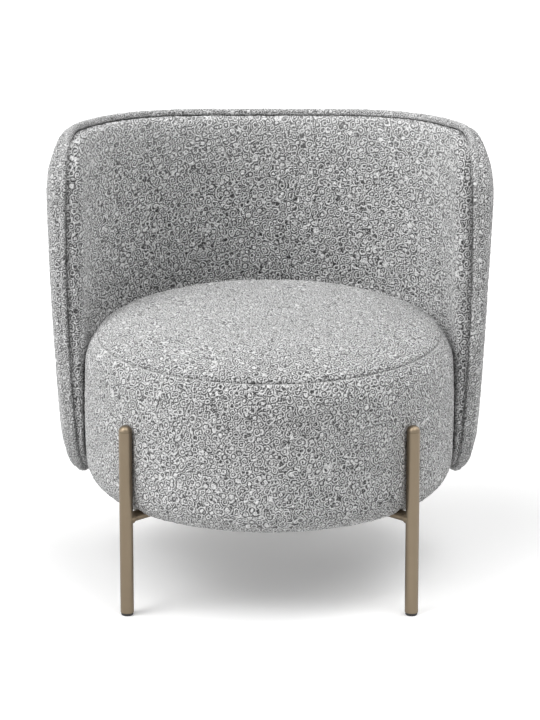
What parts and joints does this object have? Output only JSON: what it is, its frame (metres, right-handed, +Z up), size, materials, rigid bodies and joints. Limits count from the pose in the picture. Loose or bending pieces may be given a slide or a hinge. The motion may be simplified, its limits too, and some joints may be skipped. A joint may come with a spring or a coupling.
{
  "type": "tub chair",
  "caption": "Upholstered tub chair with a round padded seat, a wrap-around piped back and metal tube legs standing outside the cover.",
  "frame": {"origin": "on the floor, in the middle of the chair's width and depth", "axes": "+Z up, +X to the right seen from the front, +Y from the front to the back of the chair"},
  "size_m": [0.7286, 0.7, 0.7288],
  "materials": {
    "boucle": "light grey curly loop pile",
    "foam": "open-cell upholstery foam",
    "birch_plywood": "sanded plywood",
    "webbing": "woven elastic strap",
    "dust_fabric": "non-woven sheet",
    "bronze_tube": "satin bronze lacquer",
    "black_plastic": "moulded glide",
    "zinc_steel": "zinc plated"
  },
  "bodies": {
    "root": {"base_board": "birch_plywood", "post_1": "birch_plywood", "post_2": "birch_plywood", "post_3": "birch_plywood", "post_4": "birch_plywood", "post_5": "birch_plywood", "post_6": "birch_plywood", "top_ring": "birch_plywood", "back_shell": "birch_plywood", "webbing_lengthwise": "webbing", "webbing_crosswise": "webbing", "seat_pad": "foam", "seat_side_foam": "foam", "seat_top_cover": "boucle", "seat_side_cover": "boucle", "dust_cover": "dust_fabric", "back_inner_foam": "foam", "back_outer_foam": "foam", "back_inner_cover": "boucle", "back_outer_cover": "boucle", "back_piping": "boucle", "back_spacers": "zinc_steel", "back_bolts": "zinc_steel", "leg_tube_front_left": "bronze_tube", "leg_tube_front_right": "bronze_tube", "leg_tube_rear_left": "bronze_tube", "leg_tube_rear_right": "bronze_tube", "leg_cap_front_left": "bronze_tube", "leg_cap_front_right": "bronze_tube", "leg_cap_rear_left": "bronze_tube", "leg_cap_rear_right": "bronze_tube", "leg_arm_front_left": "bronze_tube", "leg_arm_front_right": "bronze_tube", "leg_arm_rear_left": "bronze_tube", "leg_arm_rear_right": "bronze_tube", "leg_plate_front_left": "bronze_tube", "leg_plate_front_right": "bronze_tube", "leg_plate_rear_left": "bronze_tube", "leg_plate_rear_right": "bronze_tube", "leg_glide_front_left": "black_plastic", "leg_glide_front_right": "black_plastic", "leg_glide_rear_left": "black_plastic", "leg_glide_rear_right": "black_plastic", "plate_screws": "zinc_steel"}
  },
  "joints": []
}
